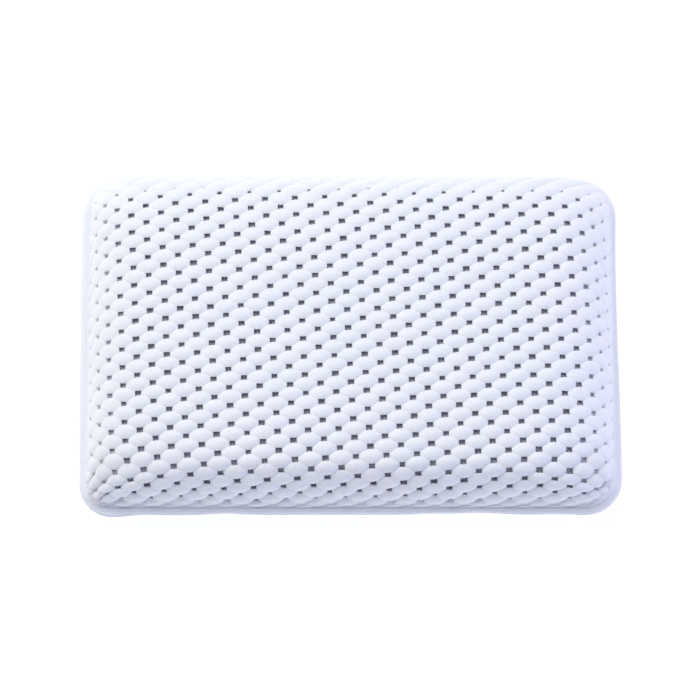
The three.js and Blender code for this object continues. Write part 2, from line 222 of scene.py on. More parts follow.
def sectionArc(reachX, reachY):
    # Length of the net along the dome's middle section against plan distance, so that it lies unstretched:
    # the section moved inwards along its normal by the net's depth, and its arc length summed
    sweep = np.sin(np.linspace(0, math.pi / 2, dome["sectionSteps"]))
    plan = sweep * max(abs(reachX), abs(reachY))
    height = skinHeight(sweep * reachX, sweep * reachY)
    over, up = np.gradient(plan), np.gradient(height)
    size = np.maximum(np.hypot(over, up), 1e-12)
    net = np.stack([plan + dome["netDepth"] * up / size, height - dome["netDepth"] * over / size])
    return np.concatenate([[0], np.cumsum(np.hypot(*np.diff(net)))]), plan


arcX, planX = sectionArc(footX, 0)
arcFar, planFar = sectionArc(0, footY)
arcNear, planNear = sectionArc(0, -footY)
shareSteps = 1 - np.cos(np.linspace(0, math.pi / 2, dome["wallSteps"]))
wallArc = np.cumsum(np.hypot(
    np.diff(shareSteps, prepend=0) * dome["wallRunY"],
    np.diff(wallLift(shareSteps, dome["footFullness"]["side"]), prepend=0) * wallHeight))


def roundedParts(cornerSteps, longSteps, shortSteps):
    # A rounded rectangle in two unit parts and its radii, anticlockwise, so that
    # outline = corner * (half size - radius) + turn * radius
    signs = np.array([[1, 1], [-1, 1], [-1, -1], [1, -1]], float)
    radii = np.array([dome["edgeRadii"], dome["footRadii"]]).T
    corner, turn, radius = [], [], []
    for quarter in range(4):
        angle = (quarter + np.arange(cornerSteps + 1) / cornerSteps) * math.pi / 2
        corner.append(np.repeat(signs[quarter:quarter + 1], cornerSteps + 1, 0))
        turn.append(np.stack([np.cos(angle), np.sin(angle)], 1))
        radius.append(np.repeat(radii[quarter:quarter + 1], cornerSteps + 1, 0))
        steps = shortSteps if quarter % 2 else longSteps
        share = (np.arange(1, steps) / steps)[:, None]
        corner.append(signs[quarter] * (1 - share) + signs[(quarter + 1) % 4] * share)
        turn.append(np.repeat(turn[-1][-1:], steps - 1, 0))
        radius.append(radii[quarter] * (1 - share) + radii[(quarter + 1) % 4] * share)
    return np.concatenate(corner), np.concatenate(turn), np.concatenate(radius)


cornerPart, turnPart, bothRadii = roundedParts(*dome["outlineSteps"])
radiusPart, footRadiusPart = bothRadii[:, :1], bothRadii[:, 1:]
around = len(cornerPart)
powerPart = footPower(np.arctan2(*np.abs(turnPart.T[::-1])) / (math.pi / 2), turnPart[:, 1] >= 0)


def outlineRow(halfX, halfY, radius):
    # Rounded rectangle put together from its unit parts
    return cornerPart * (np.array([halfX, halfY]) - radius) + turnPart * radius


edge = {
    "wander": np.array([  # the weld wanders: plan place, reach, and how far out the edge lies there
        (0, -111, 110, -0.7), (-141, -111, 12, 1.3), (-128, -111, 8, -0.9), (-76, -111, 9, -0.9),
        (48, -111, 7, -0.7), (79, -111, 14, -1.5), (129, -111, 16, -1.1), (165, -72, 42, 1.1),
        (165, 45, 40, -0.6), (150, 102, 15, 1.7), (-165, 40, 55, 1.3), (-165, -45, 24, 0.5),
        (-150, 104, 14, 0.4),
    ]) * mm,
}
edgeLine = outlineRow(edgeX, edgeY, radiusPart)
edgeAway = np.linalg.norm(edgeLine[:, None] - edge["wander"][:, :2], axis=-1) / edge["wander"][:, 2]
wanderPart = np.exp(-0.5 * edgeAway ** 2) @ edge["wander"][:, 3:]


def edgeRow(offset, radius):
    # Row that follows the pillow's edge at a distance inside it: the wander is gone at the dome's foot
    shift = turnPart * wanderPart * np.clip(1 - offset / dome["rimWidth"], 0, 1)
    return outlineRow(edgeX - offset, edgeY - offset, radius) + shift


def edgeRows(offsets, heights):
    # Rows at distances inside the edge and at heights, the corners' radii going over from edge to foot
    rows = [edgeRow(offset, radiusPart + (footRadiusPart - radiusPart) * offset / dome["rimWidth"])
            for offset in offsets]
    levels = np.broadcast_to(np.asarray(heights)[:, None, None], (len(offsets), around, 1))
    return np.concatenate([np.stack(rows), levels], -1)


def domeRows(shares):
    # Rows of the dome's skin: the foot's outline drawn in by each share of the wall's run, at its height
    rows = np.stack([outlineRow(
        footX - share * dome["wallRunX"], footY - share * dome["wallRunY"],
        footRadiusPart * (1 - share) + dome["shoulderRadius"] * share) for share in shares])
    crown = dome["crownHeight"] * crownAt(rows[..., 0], rows[..., 1])
    height = rimTop + wallLift(np.asarray(shares)[:, None], powerPart) * (wallHeight + crown)
    return np.concatenate([rows, height[..., None]], -1)


def rowNormals(rows):
    # Normals of a grid of rows: cross product of the steps round it and the steps between rows
    roundStep = np.roll(rows, -1, 1) - np.roll(rows, 1, 1)
    normal = np.cross(roundStep, np.gradient(rows, axis=0))
    return normal / np.maximum(np.linalg.norm(normal, axis=-1, keepdims=True), 1e-12)


# Materials

def foamMaterial(name, hexColours, grain, grainDepth, roughness):
    # Foamed PVC, knife-coated on a net and blown in an oven: chalk white with a cold cast, satin, slightly
    # translucent, with a skin of very fine closed pores, drawn coarser than they are so that they show
    material, tree, shader = newMaterial(name)
    place = addNode(tree, "TexCoord").outputs["Object"]
    cloud = addNode(tree, "TexNoise", {"Scale": 1 / (38 * mm), "Detail": 2.0}, {"Vector": place})
    dull, clean = (linearColour(hexColour) for hexColour in hexColours)
    tint = addNode(tree, "Mix", {"A": dull, "B": clean}, {"Factor": cloud.outputs["Fac"]}, data_type="RGBA")
    pores = addNode(tree, "TexNoise", {"Scale": 1 / grain, "Detail": 3.0, "Roughness": 0.6},
                    {"Vector": place})
    bump = addNode(tree, "Bump", {"Strength": 0.5, "Distance": grainDepth}, {"Height": pores.outputs["Fac"]})
    gloss = addNode(tree, "MapRange", {"To Min": roughness - 0.06, "To Max": roughness + 0.06},
                    {"Value": pores.outputs["Fac"]})
    tree.links.new(tint.outputs["Result"], shader.inputs["Base Color"])
    tree.links.new(gloss.outputs["Result"], shader.inputs["Roughness"])
    tree.links.new(bump.outputs["Normal"], shader.inputs["Normal"])
    setSockets(shader, {"IOR": 1.5, "Specular IOR Level": 0.35, "Subsurface Weight": 0.5,
                        "Subsurface Radius": (1.0, 1.0, 1.15), "Subsurface Scale": 2 * mm})
    return material


def padMaterialWithPaintedShade(name):
    # Open-cell polyurethane filling, cut from a block: dull, pitted with cells about a millimetre wide. Its
    # grey is partly its own colour and partly painted shade for the dim holes it is seen through.
    material, tree, shader = newMaterial(name)
    place = addNode(tree, "TexCoord").outputs["Object"]
    cells = addNode(tree, "TexVoronoi", {"Scale": 1 / (1.3 * mm)}, {"Vector": place})
    # the ramp darkens each cell towards its pit: painted shade in the pits
    shade = addNode(tree, "ValToRGB", {}, {"Fac": cells.outputs["Distance"]})
    shade.color_ramp.elements[0].color = linearColour("#7d8089")
    shade.color_ramp.elements[1].color = linearColour("#d2d5dd")
    shade.color_ramp.elements[1].position = 0.7
    bump = addNode(tree, "Bump", {"Strength": 0.8, "Distance": 0.5 * mm},
                   {"Height": cells.outputs["Distance"]})
    tree.links.new(shade.outputs["Color"], shader.inputs["Base Color"])
    tree.links.new(bump.outputs["Normal"], shader.inputs["Normal"])
    setSockets(shader, {"Roughness": 0.95, "IOR": 1.45, "Specular IOR Level": 0.15})
    return material


def vinylMaterial(name, hexColours, grain, grainDepth, roughness):
    # Soft calendered or moulded PVC: even white, waxy sheen, with a fine embossed grain
    material, tree, shader = newMaterial(name)
    place = addNode(tree, "TexCoord").outputs["Object"]
    pebbles = addNode(tree, "TexVoronoi", {"Scale": 1 / grain}, {"Vector": place}, feature="SMOOTH_F1")
    cloud = addNode(tree, "TexNoise", {"Scale": 1 / (30 * mm), "Detail": 2.0}, {"Vector": place})
    dull, clean = (linearColour(hexColour) for hexColour in hexColours)
    tint = addNode(tree, "Mix", {"A": dull, "B": clean}, {"Factor": cloud.outputs["Fac"]}, data_type="RGBA")
    gloss = addNode(tree, "MapRange", {"To Min": roughness - 0.05, "To Max": roughness + 0.08},
                    {"Value": cloud.outputs["Fac"]})
    bump = addNode(tree, "Bump", {"Strength": 0.4, "Distance": grainDepth},
                   {"Height": pebbles.outputs["Distance"]})
    tree.links.new(tint.outputs["Result"], shader.inputs["Base Color"])
    tree.links.new(gloss.outputs["Result"], shader.inputs["Roughness"])
    tree.links.new(bump.outputs["Normal"], shader.inputs["Normal"])
    setSockets(shader, {"IOR": 1.53, "Specular IOR Level": 0.5})
    return material


def cupMaterial(name, hexColours):
    # Plasticised clear PVC, injection moulded: milky, glossy, light passes through the thin skirt
    material, tree, shader = newMaterial(name)
    place = addNode(tree, "TexCoord").outputs["Object"]
    haze = addNode(tree, "TexNoise", {"Scale": 1 / (9 * mm), "Detail": 2.0}, {"Vector": place})
    dull, clean = (linearColour(hexColour) for hexColour in hexColours)
    tint = addNode(tree, "Mix", {"A": dull, "B": clean}, {"Factor": haze.outputs["Fac"]}, data_type="RGBA")
    gloss = addNode(tree, "MapRange", {"To Min": 0.12, "To Max": 0.28}, {"Value": haze.outputs["Fac"]})
    tree.links.new(tint.outputs["Result"], shader.inputs["Base Color"])
    tree.links.new(gloss.outputs["Result"], shader.inputs["Roughness"])
    setSockets(shader, {"IOR": 1.53, "Transmission Weight": 0.45, "Subsurface Weight": 0.2,
                        "Subsurface Radius": (1.0, 1.0, 1.0), "Subsurface Scale": 3 * mm})
    return material


beadFoam = foamMaterial("foamedPvcBeads", ("#eef2f9", "#f4f6fb"), 0.9 * mm, 0.12 * mm, 0.55)
# the pressed band's foam is a touch darker than the beads': painted shade on the flat band
pressedFoamWithPaintedShade = foamMaterial("foamedPvcPressedPaintedShade", ("#eaedf4", "#f0f2f7"), 2.2 * mm, 0.06 * mm, 0.48)
padFoam = padMaterialWithPaintedShade("openCellFoamPaintedShade")
backVinyl = vinylMaterial("embossedVinylSheet", ("#e4e8f0", "#eceff5"), 1.1 * mm, 0.12 * mm, 0.45)
eyeletVinyl = vinylMaterial("mouldedWhiteVinyl", ("#eceef2", "#f2f3f6"), 2.5 * mm, 0.04 * mm, 0.38)
cupVinyl = cupMaterial("softClearVinyl", ("#d3dde1", "#e6edf0"))
print("materials made")


# Front cover: foam beads on a slanting lattice, a hole at each lattice point

weave = {
    "pitchAlong": 18.49 * mm,     # hole to hole along a row
    "pitchAcross": 11.855 * mm,   # hole to hole down a column; rows between are staggered by half
    "turn": math.radians(2.65),   # the mesh lies a little askew on the pillow
    "firstHole": (-1.1 * mm, -3.1 * mm),
    "cells": 34,                  # cells of the lattice each way from the middle
    "cellMargins": (9 * mm, 11 * mm, 4 * mm),  # past the foot of the sides, the long sides and the corners

    # how the mesh is pulled
    "skew": (1.6 * mm, 105 * mm),  # it is dragged sideways as it goes over the long edges
    "skewEnd": 1.2,
    "nearGather": (0.028, 42 * mm, 10 * mm),  # over the long edges it is gathered in towards this place
    "farGather": (0.0137, 70 * mm, -60 * mm),
    "leftClimb": (3.8 * mm, 42 * mm),  # and over the short edges it is pulled away from the near side
    "rightClimb": (1.9 * mm, 42 * mm),
    "climbEnd": 60 * mm,
    "climbShares": (-0.8, 1.6),
    "cornerPull": (2.2 * mm, 40 * mm),  # but at the near corners it is pulled down to the weld
    "cornerPullSpan": (90 * mm, 150 * mm),
    "drawIn": 4 * mm,             # the last beads are squeezed up against the weld
    "frontDrawIn": 7 * mm,
    "cornerDrawIn": 4 * mm,

    # holes
    "holeReach": 0.205,           # half width of a hole, as a share of half the pitch along
    "holeSpread": 0.011,
    "holeTall": 0.82,             # height of a hole against its width
    "holeTop": 0.78,              # width of a hole at its top and bottom against its middle
    "holeBow": 0.95,              # the holes' sides bow inwards a little
    "undercut": 1.6,              # the beads round in under themselves, so holes are wider below
    "sideTaper": (0.1, 14 * mm, 44 * mm),    # but over the short sides they narrow inwards
    "farClosing": (0.05, 30 * mm, 46 * mm),  # they close up towards the long sides and the weld
    "nearClosing": (0.35, 3 * mm, 24 * mm),
    "weldClosing": (0.2, 2 * mm, 16 * mm),

    # beads
    "beadRise": 3.7 * mm,         # half height of the egg each bead is the top of
    "beadReach": 1.2,             # the egg's half width against half a cell, so that eggs run into each other
    "chain": 0.76,                # and it is longer towards the next bead of its own leaning chain
    "eggEnd": 0.95,
    "beadSpread": 0.15 * mm,      # beads differ a little in height
    "underside": 4.2 * mm,
    "sideThinning": (0.5, 16 * mm, 50 * mm),  # the mesh is drawn thin over the short sides
    "sideFade": (0.4, 12 * mm, 52 * mm),      # beads flatten slowly towards the short sides
    "frontFade": (0.8, 0, 5 * mm),            # and only at the last moment towards the long ones
    "cornerPlump": 1.25,                      # but not where the mesh is gathered at the near corners
    "plumpAcross": (65 * mm, 100 * mm),
    "plumpAlong": (110 * mm, 150 * mm),
    "sink": 0.6 * mm,
    "rings": (0.66, 1.0),         # few faces to a bead: the shading rounds it
    "sideSteps": (0.25, 0.75),    # points along the side between two holes
    "slopeStep": 0.4 * mm,
}


def towardsLimit(value, limit, soft):
    # Leaves a distance alone until it nears the limit, then eases it in so that it never gets there
    size = np.abs(value)
    eased = limit - soft * np.exp(-(size - limit + soft) / soft)
    return np.sign(value) * np.where(size > limit - soft, eased, size)


def acrossLimit(across):
    # Arc length from the middle to the dome's foot, on the far side or the near one
    return np.where(across >= 0, arcFar[-1], arcNear[-1])


def unrolledPlan(along, across):
    # Arc lengths on the net back to plan, each along its own middle section
    y = np.where(across >= 0, np.interp(across, arcFar, planFar), -np.interp(-across, arcNear, planNear))
    return np.sign(along) * np.interp(np.abs(along), arcX, planX), y


def layOnDome(along, across):
    # Mesh coordinates to the skin: arc length along each middle section, corners eased inside the foot's arc
    along = towardsLimit(along, arcX[-1], weave["drawIn"])
    across = towardsLimit(across, acrossLimit(across), weave["frontDrawIn"])
    x, y = unrolledPlan(along, across)
    cornerX, cornerY, footRadius = cornerPlace(x, y)
    reach = np.hypot(cornerX, cornerY)
    pulled = (cornerX > 0) & (cornerY > 0)
    soft = weave["cornerDrawIn"] * np.sin(2 * np.arctan2(np.maximum(cornerY, 0), np.maximum(cornerX, 0)))
    eased = towardsLimit(reach, footRadius, np.maximum(soft, 1e-6)) / np.maximum(reach, 1e-9)
    x = np.where(pulled, np.sign(x) * (footX - footRadius + cornerX * eased), x)
    y = np.where(pulled, np.sign(y) * (footY - footRadius + cornerY * eased), y)
    return np.stack([x, y, skinHeight(x, y)], -1)


def nearEdge(distance, reach):
    # Nothing further than the reach from an edge, growing evenly to one at it
    return np.clip(1 - distance / reach, 0, 1)


def latticePlace(i, j):
    # Lattice steps to mesh coordinates: i runs down to the right, j up to the right, then the whole turn, and
    # a sideways drag that grows with the cube of the distance from the middle. Towards the edges the mesh is
    # gathered in along the long ones and pulled across along the short ones.
    along, across = (i + j) / 2 * weave["pitchAlong"], (j - i) / 2 * weave["pitchAcross"]
    cosTurn, sinTurn = math.cos(weave["turn"]), math.sin(weave["turn"])
    up = weave["firstHole"][1] + along * sinTurn + across * cosTurn
    drag = weave["skew"][0] * np.clip(up / weave["skew"][1], -weave["skewEnd"], weave["skewEnd"]) ** 3
    over = weave["firstHole"][0] + along * cosTurn - across * sinTurn - drag
    for name, end in (("nearGather", up + arcNear[-1]), ("farGather", arcFar[-1] - up)):
        share, reach, middle = weave[name]
        over = over - share * nearEdge(end, reach) * (over - middle)
    pull, reach = weave["cornerPull"]
    down = pull * nearEdge(up + arcNear[-1], reach) * smoothStep(np.abs(over), *weave["cornerPullSpan"])
    for name, end in (("leftClimb", over + arcX[-1]), ("rightClimb", arcX[-1] - over)):
        climb, reach = weave[name]
        up = up + climb * nearEdge(end, reach) * np.clip(1 - up / weave["climbEnd"], *weave["climbShares"])
    return over, up - down


def footDistance(points):
    # Distance up the wall from the dome's foot
    return np.interp(wallPlace(points[..., 0], points[..., 1])[0], shareSteps, wallArc)


def growing(distance, fade):
    # From a low share at the first distance to the whole at the second
    low, start, end = fade
    return low + (1 - low) * smoothStep(distance, start, end)


def weldFade(along, across, points):
    # How far beads have flattened: the fade towards the short sides times that towards the weld, and the
    # second alone, which also draws them in
    side = growing(arcX[-1] - np.abs(along), weave["sideFade"])
    plump = smoothStep(-across, *weave["plumpAcross"]) * smoothStep(np.abs(along), *weave["plumpAlong"])
    side += (weave["cornerPlump"] - side) * plump
    front = growing(acrossLimit(across) - np.abs(across), weave["frontFade"])
    weld = np.minimum(front, growing(footDistance(points), weave["frontFade"]))
    return side * weld, weld


def undersideDepth(along):
    # Depth of the mesh's underside below the skin, less over the short sides
    return weave["underside"] * growing(arcX[-1] - np.abs(along), weave["sideThinning"])


def coverCells():
    # Cells of the lattice whose middle lies on the dome, or just past its foot
    reach = weave["cells"]
    i, j = np.meshgrid(np.arange(-reach, reach), np.arange(-reach, reach), indexing="ij")
    along, across = latticePlace(i + 0.5, j + 0.5)
    pastSide, pastFront, pastCorner = weave["cellMargins"]
    inside = (np.abs(along) < arcX[-1] + pastSide) & (np.abs(across) < acrossLimit(across) + pastFront)
    cornerX, cornerY, footRadius = cornerPlace(*unrolledPlan(along, across))
    beyond = (cornerX > 0) & (cornerY > 0) & (np.hypot(cornerX, cornerY) > footRadius + pastCorner)
    kept = inside & ~beyond
    return i[kept], j[kept], kept


def holeSizes():
    # Half width of the hole at every lattice point, in lattice steps: spread at random, then closed up by the
    # least share that the edges leave. The second array is the same at the mesh's underside.
    steps = np.arange(-weave["cells"], weave["cells"] + 1)
    sizes = weave["holeReach"] + weave["holeSpread"] * rng.standard_normal((len(steps), len(steps)))
    along, across = latticePlace(*np.meshgrid(steps, steps, indexing="ij"))
    sizes *= np.minimum.reduce([
        growing(arcFar[-1] - across, weave["farClosing"]),
        growing(arcNear[-1] + across, weave["nearClosing"]),
        growing(footDistance(layOnDome(along, across)), weave["weldClosing"])])
    return sizes, sizes * weave["undercut"] * growing(arcX[-1] - np.abs(along), weave["sideTaper"])


def cellOutline(holeAt):
    # Outline of every cell, anticlockwise: at each corner the bowed edge of its hole, then the side that
    # leads to the next corner
    corner = np.array([[0, 0], [1, 0], [1, 1], [0, 1]], float)
    ahead = np.array([[1, 0], [0, 1], [-1, 0], [0, -1]], float)
    behind = np.array([[0, 1], [-1, 0], [0, -1], [1, 0]], float)
    tall = weave["holeTall"] * weave["pitchAlong"] / weave["pitchAcross"]
    bow = weave["holeBow"]
    upright = np.array([[0, 1], [bow / 2, bow / 2], [1, 0]])
    low, high = (tall - weave["holeTop"]) / 2, (tall + weave["holeTop"]) / 2
    level = np.array([[0, 1], [low, high], [bow * tall / 2] * 2, [high, low], [1, 0]])
    steps = np.array(weave["sideSteps"])[:, None]
    points, onSide = [], []
    for k in range(4):
        size, nextSize = holeAt[:, k, None, None], holeAt[:, (k + 1) % 4, None, None]
        side = level if k % 2 else upright  # left and right ends of a bead meet a hole's upright sides
        points.append(corner[k] + size * (ahead[k] * side[:, :1] + behind[k] * side[:, 1:]))
        points.append(corner[k] + ahead[k] * (size + (1 - size - nextSize) * steps))
        onSide += [-1] * (len(side) - 1) + [k] * (len(steps) + 1)  # a segment's side, or -1 on a hole's edge
    return np.concatenate(points, 1), np.array(onSide)


def eggTop(fromMiddle, lift):
    # Top of an egg: it falls as 1 - sqrt(1 - (r / reach) ^ 2), where r runs from 0 in the middle to 1 at the
    # crease between two chains and to less at the joint within a chain. The lift is gone at both.
    toCrease, toJoint = np.moveaxis(fromMiddle, -1, 0)
    egg = (toCrease ** 2 + (weave["chain"] * toJoint) ** 2) / weave["beadReach"] ** 2
    fall = weave["beadRise"] * (1 - np.sqrt(1 - np.minimum(egg, weave["eggEnd"])))
    return lift[:, None, None] * (1 - toCrease ** 2) * (1 - toJoint ** 2) - fall


def skinNormals(along, across):
    # Normals of the skin: cross product of a small step along the mesh and one across it
    step = weave["slopeStep"]
    overStep = layOnDome(along + step, across) - layOnDome(along - step, across)
    upStep = layOnDome(along, across + step) - layOnDome(along, across - step)
    normal = np.cross(overStep, upStep)
    return normal / np.maximum(np.linalg.norm(normal, axis=-1, keepdims=True), 1e-15)


def coverBeads():
    # Each bead is a polar patch over its cell: rings that grow from its middle to its outline, raised as the
    # top of an egg. Patches share their outlines, and a hole's walls go down to one face under each bead.
    cellI, cellJ, kept = coverCells()
    count, reach = len(cellI), weave["cells"]
    cornerI, cornerJ = cellI[:, None] + [0, 1, 1, 0] + reach, cellJ[:, None] + [0, 0, 1, 1] + reach
    holes, underHoles = holeSizes()
    outline, onSide = cellOutline(holes[cornerI, cornerJ])
    underline, _ = cellOutline(underHoles[cornerI, cornerJ])
    ring = np.array(weave["rings"])
    sides = outline.shape[1]
    onRings = len(ring) * sides  # points before the middle's, which comes before the underside's
    cell = np.stack([cellI, cellJ], -1)[:, None, :]
    spots = cell[:, None] + 0.5 + (outline[:, None] - 0.5) * ring[:, None, None]
    everySpot = np.concatenate([spots.reshape(count, -1, 2), cell + 0.5, cell + underline], 1)

    lift = weave["beadSpread"] * rng.standard_normal(count)
    rise = eggTop(np.abs(2 * (spots - cell[:, None]) - 1), lift)
    rise = np.concatenate([rise.reshape(count, -1), lift[:, None], np.zeros((count, sides))], 1)
    along, across = latticePlace(everySpot[..., 0], everySpot[..., 1])
    skin = layOnDome(along, across)
    fade, weld = weldFade(along, across, skin)
    onTop = np.arange(everySpot.shape[1]) <= onRings
    height = np.where(onTop, rise * fade - weave["sink"] * (1 - weld), -undersideDepth(along))
    points = skin + skinNormals(along, across) * height[..., None]

    # vertex numbers: outlines are shared by neighbours, found by their place on the lattice
    layer = np.zeros(everySpot.shape[1], int)
    layer[onRings - sides:onRings] = 1
    layer[onRings + 1:] = 2
    own = np.arange(count * len(layer)).reshape(count, -1)
    key = np.concatenate([np.round(everySpot * 1e5), np.broadcast_to(layer[:, None], (*own.shape, 1))], -1)
    key[:, layer == 0, 0] = own[:, layer == 0]  # points inside a bead stay its own
    key[:, layer == 0, 1] = -1e9
    _, first, number = np.unique(
        key.reshape(-1, 3).astype(np.int64), axis=0, return_index=True, return_inverse=True)
    number = number.reshape(count, -1)

    after = (np.arange(sides) + 1) % sides
    top = number[:, :onRings].reshape(count, len(ring), sides)
    inner, outer, edgeRing = top[:, :-1], top[:, 1:], top[:, -1]
    middle = np.repeat(number[:, onRings, None], sides, 1)
    under = number[:, onRings + 1:]
    beside = kept[cellI[:, None] + [0, 1, 0, -1] + reach, cellJ[:, None] + [-1, 0, 1, 0] + reach]
    walled = np.where(onSide < 0, True, ~beside[:, np.maximum(onSide, 0)])  # at holes and where the mesh ends
    caps = np.stack([middle, top[:, 0], top[:, 0][:, after]], -1).reshape(-1, 3)
    bands = np.stack([inner, outer, outer[..., after], inner[..., after]], -1).reshape(-1, 4)
    walls = np.stack([edgeRing, under, under[:, after], edgeRing[:, after]], -1)[walled]
    creases = np.stack([edgeRing, edgeRing[:, after]], -1)
    print("cover:", count, "beads")
    return makePiece("coverBeads", points.reshape(-1, 3)[first], [caps, bands, under[:, ::-1], walls],
                     [beadFoam], creases=creases)


rim = {
    # the band's rows: way in from the edge, and height over the seam or over the flat top
    "underside": np.array([(7.5, 0), (3.4, 0), (0.5, 0), (0.14, 0.14), (0, 0.5)]) * mm,
    "topside": np.array([(0, -0.6), (0.16, -0.18), (0.55, 0),
                         (1.2, 0.14), (1.9, 0.55), (2.5, 1.2), (2.95, 2.1)]) * mm,
    "flatRows": 3,         # rows of the top side before it turns up
    "nearLowering": 0.55,  # it turns up less along the near side, where beads come down to the flat band

    # the skirt's rows: way up the wall, and depth under the skin
    "climb": np.array([3.0, 3.7, 4.4, 5.2, 6.3, 8, 10, 12.5]) * mm,
    "sunk": np.array([-0.25, -0.1, 0.15, 0.45, 0.8, 1.2, 1.5, 1.7]) * mm,
    "sunkNear": np.array([0.2, 0.45, 0.7, 0.9, 1.1, 1.3, 1.5, 1.7]) * mm,
    "sunkCorner": np.array([-0.35, -0.3, -0.2, 0, 0.3, 0.9, 1.4, 1.7]) * mm,  # corners are filled higher up
    "insideDepth": 2 * mm,
}


def coverRim():
    # Pressed rim: a flat band with a soft edge, then a smooth skirt that climbs the wall behind the last
    # beads. One closed profile carried round the pillow's edge.
    below, above = rim["underside"], rim["topside"]
    offsets = np.concatenate([below[:, 0], above[:, 0]])
    band = edgeRows(offsets, np.concatenate([seamHeight + below[:, 1], rimTop + above[:, 1]]))
    turnX, turnY = turnPart[:, :1], turnPart[:, 1:]
    corner = 2 * np.abs(turnX * turnY)  # one in the middle of a corner, nothing on a side
    near = np.where(-turnY > np.abs(turnX), 1 - corner, 0)
    turnedUp = above[rim["flatRows"]:, 1]
    band[-len(turnedUp):, :, 2:] -= rim["nearLowering"] * turnedUp[:, None, None] * near
    skin = domeRows(np.interp(rim["climb"], wallArc, shareSteps))
    normal = rowNormals(skin)
    onSide, onNear, onCorner = (rim[name][:, None, None] for name in ("sunk", "sunkNear", "sunkCorner"))
    skirt = skin - normal * (onSide * (1 - corner - near) + onNear * near + onCorner * corner)
    inside = (skin - normal * rim["insideDepth"])[::-2]  # back down behind the skirt, every other row
    rows = np.concatenate([band, skirt, inside])
    return makePiece("coverRim", rows, [gridFaces(len(rows), around, closeRows=True)], [pressedFoamWithPaintedShade])


for piece in (coverBeads(), coverRim()):
    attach(piece, "pillow")
    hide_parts("front_cover")


# Foam pad inside, seen through the holes

cupBoxes = [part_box(f"suction_cup_{k}") for k in range(1, 7)]
cupPlaces = [np.array((low + high) / 2) for low, high in cupBoxes]
cupTop = cupBoxes[0][1].z
filling = {
    "clearance": 0.15 * mm,      # under the mesh
    "wallStart": 0.12,           # how far up the wall the first row lies, as an angle in radians
    "wallRows": 24,
    "crownRows": 26,
    "baseRows": 90,
    "pocketRadius": 9.6 * mm,    # a blind pocket over each cup's head
    "pocketSlope": 1.5 * mm,
}


def foamPad():
    # The skin moved inwards along its normal to just under the mesh, over a flat bottom with a pocket for
    # each cup's head
    bottom = seamHeight + dome["fitGap"]
    angle = np.linspace(filling["wallStart"], math.pi / 2, filling["wallRows"])
    wall = domeRows(1 - np.cos(angle) ** (2 / dome["shoulderFullness"]))
    crown = wall[-1] * [1, 1, 0] * np.linspace(1, 0, filling["crownRows"])[1:, None, None]
    crown[..., 2] = skinHeight(crown[..., 0], crown[..., 1])
    skin = np.concatenate([wall, crown])
    depth = undersideDepth(np.interp(np.abs(skin[..., 0]), planX, arcX)) + filling["clearance"]
    normal = rowNormals(skin)
    normal[-1] = (0, 0, 1)
    top = skin - normal * depth[..., None]
    base = top[0] * [1, 1, 0] * np.linspace(0, 1, filling["baseRows"])[:-1, None, None]
    foot = top[:1] * [1, 1, 0] + np.array([0, 0, bottom])
    away = np.min([np.hypot(base[..., 0] - p[0], base[..., 1] - p[1]) for p in cupPlaces], 0)
    pocketEnd = filling["pocketRadius"] + filling["pocketSlope"]
    pocket = 1 - smoothStep(away, filling["pocketRadius"], pocketEnd)
    base[..., 2] = bottom + (cupTop + dome["fitGap"] - bottom) * pocket
    rows = np.concatenate([base, foot, top])
    return makePiece("padFoam", rows, [gridFaces(len(rows), around)], [padFoam], closePoles=True)


padPiece = foamPad()
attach(padPiece, "pillow")
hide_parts("foam_pad")
print("pad made")


# Back sheet, welded to the rim

sheet = {
    "thickness": 1.2 * mm,
    "edgeSoft": 0.3 * mm,
    "upperEdge": 0.2,            # share of it on the upper side, which is pressed and nearly sharp
    "weldDepth": 0.25 * mm,
    "weldBand": (1.2 * mm, 1.6 * mm, 3.6 * mm, 4.0 * mm),  # the weld's groove: start, full depth, and back
    "weldEnd": 4.6 * mm,
    "rowRuns": ((0, 26 * mm, 14), (30 * mm, 80 * mm, 18)),  # rows inwards from the edge: from, to, how many
    "middleRows": 8,
    "cornerTightening": 0.2,     # corners of the rows grow tighter inwards
    "leastCorner": 3 * mm,
    "pucker": 0.3 * mm,          # puckers run in from the weld
    "puckerLength": 17 * mm,
    "puckerReach": 14 * mm,
    "puckerFrom": (4.5 * mm, 8 * mm),
    "longWave": (0.6, 2.7, 1.3),  # a second wave in them: its height and length against the first, and start
    "belly": 1.1 * mm,           # the pad pushes the sheet out between the cups
    "bellyFrom": (5 * mm, 40 * mm),
    "heldRound": 24 * mm,        # but not round a cup
    "holeRadius": 5.7 * mm,
    "holeSteps": 48,
    "punchHeight": 6 * mm,
}


def sheetSag(x, y, inward):
    # Belly between the cups, plus puckers, two sines along the edge that die away inwards
    away = np.min([np.hypot(x - p[0], y - p[1]) for p in cupPlaces], 0)
    held = 1 - np.exp(-(away / sheet["heldRound"]) ** 2)
    belly = sheet["belly"] * smoothStep(inward, *sheet["bellyFrom"])
    run = np.arctan2(y / edgeY, x / edgeX) * (edgeX + edgeY) / 2
    turn = 2 * math.pi * run / sheet["puckerLength"]
    longHeight, longLength, longStart = sheet["longWave"]
    wave = np.sin(turn) + longHeight * np.sin(turn / longLength + longStart)
    pucker = sheet["pucker"] * smoothStep(inward, *sheet["puckerFrom"])
    pucker = pucker * np.exp(-inward / sheet["puckerReach"])
    return (pucker * wave - belly) * held


